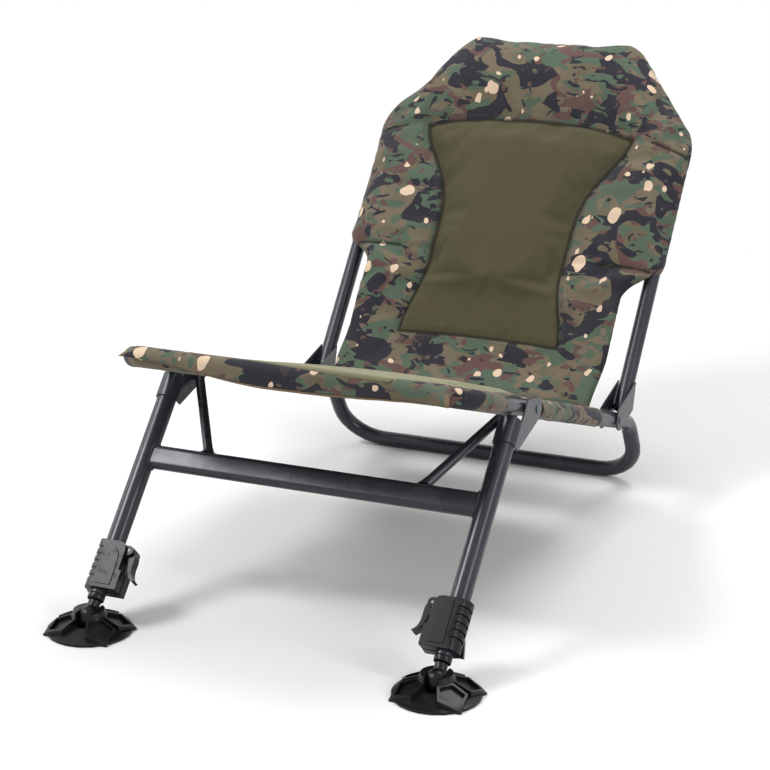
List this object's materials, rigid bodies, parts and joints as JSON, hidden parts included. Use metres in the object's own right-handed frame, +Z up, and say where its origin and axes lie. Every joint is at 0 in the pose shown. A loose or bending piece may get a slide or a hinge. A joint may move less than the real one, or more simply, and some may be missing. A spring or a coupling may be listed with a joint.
{
  "type": "folding low chair",
  "caption": "Low padded folding chair with a steel tube frame, reclined back, telescopic front legs with cam clamps and swivelling mud feet.",
  "frame": {"origin": "on the floor, in the middle of the chair's width and length", "axes": "+Z up, +Y to the rear, +X to the right seen from the front; the sitter faces -Y"},
  "size_m": [0.566, 1.1154, 0.583],
  "materials": {
    "frame_paint": "satin",
    "bolt_steel": "satin",
    "black_plastic": "satin",
    "foot_plastic": "satin",
    "printed_fabric": "matt woven print"
  },
  "bodies": {
    "seat_frame": {"front_frame_tube": "frame_paint", "rear_frame_tube": "frame_paint", "seat_sling": "printed_fabric", "seat_pad": "printed_fabric", "left_pivot_bolt": "bolt_steel", "left_pivot_nut": "bolt_steel", "left_hinge_bolt": "bolt_steel", "left_hinge_nut": "bolt_steel", "right_pivot_bolt": "bolt_steel", "right_pivot_nut": "bolt_steel", "right_hinge_bolt": "bolt_steel", "right_hinge_nut": "bolt_steel"},
    "leg_frame": {"leg_crossbar": "frame_paint", "left_leg_tube": "frame_paint", "left_leg_bracket": "frame_paint", "left_leg_strut": "frame_paint", "left_clamp_body": "black_plastic", "left_clamp_pin": "bolt_steel", "right_leg_tube": "frame_paint", "right_leg_bracket": "frame_paint", "right_leg_strut": "frame_paint", "right_clamp_body": "black_plastic", "right_clamp_pin": "bolt_steel"},
    "back_frame": {"back_tube": "frame_paint", "back_pad": "printed_fabric", "left_back_bracket": "frame_paint", "right_back_bracket": "frame_paint"},
    "left_lever": {"left_clamp_lever": "black_plastic"},
    "left_extension": {"left_inner_leg": "frame_paint", "left_leg_plug": "black_plastic"},
    "left_stud": {"left_ball_stud": "black_plastic"},
    "left_foot": {"left_mud_foot": "foot_plastic"},
    "right_lever": {"right_clamp_lever": "black_plastic"},
    "right_extension": {"right_inner_leg": "frame_paint", "right_leg_plug": "black_plastic"},
    "right_stud": {"right_ball_stud": "black_plastic"},
    "right_foot": {"right_mud_foot": "foot_plastic"}
  },
  "joints": [
    {"name": "leg_fold", "type": "hinge", "parent": "seat_frame", "child": "leg_frame", "pos_m": [0, -0.21395, 0.259], "axis": [1, 0, 0], "range_deg": [0, 105]},
    {"name": "back_fold", "type": "hinge", "parent": "seat_frame", "child": "back_frame", "pos_m": [0, 0.13693, 0.13544], "axis": [1, 0, 0], "range_deg": [0, 95]},
    {"name": "left_cam_lever", "type": "hinge", "parent": "leg_frame", "child": "left_lever", "pos_m": [-0.2025, -0.44216, 0.08155], "axis": [0, -0.7157, 0.6984], "range_deg": [0, 110]},
    {"name": "left_leg_slide", "type": "slide", "parent": "leg_frame", "child": "left_extension", "axis": [0, -0.6984, -0.7157], "range_m": [0, 0.11]},
    {"name": "left_stud_turn", "type": "hinge", "parent": "left_extension", "child": "left_stud", "pos_m": [-0.23, -0.50467, 0.0175], "axis": [0, 0.6984, 0.7157], "continuous": true},
    {"name": "left_foot_tilt", "type": "hinge", "parent": "left_stud", "child": "left_foot", "pos_m": [-0.23, -0.50467, 0.0175], "axis": [-1, 0, 0], "range_deg": [-4, 90]},
    {"name": "right_cam_lever", "type": "hinge", "parent": "leg_frame", "child": "right_lever", "pos_m": [0.2025, -0.44216, 0.08155], "axis": [0, 0.7157, -0.6984], "range_deg": [0, 110]},
    {"name": "right_leg_slide", "type": "slide", "parent": "leg_frame", "child": "right_extension", "axis": [0, -0.6984, -0.7157], "range_m": [0, 0.11]},
    {"name": "right_stud_turn", "type": "hinge", "parent": "right_extension", "child": "right_stud", "pos_m": [0.23, -0.50467, 0.0175], "axis": [0, 0.6984, 0.7157], "continuous": true},
    {"name": "right_foot_tilt", "type": "hinge", "parent": "right_stud", "child": "right_foot", "pos_m": [0.23, -0.50467, 0.0175], "axis": [-1, 0, 0], "range_deg": [-4, 90]}
  ]
}
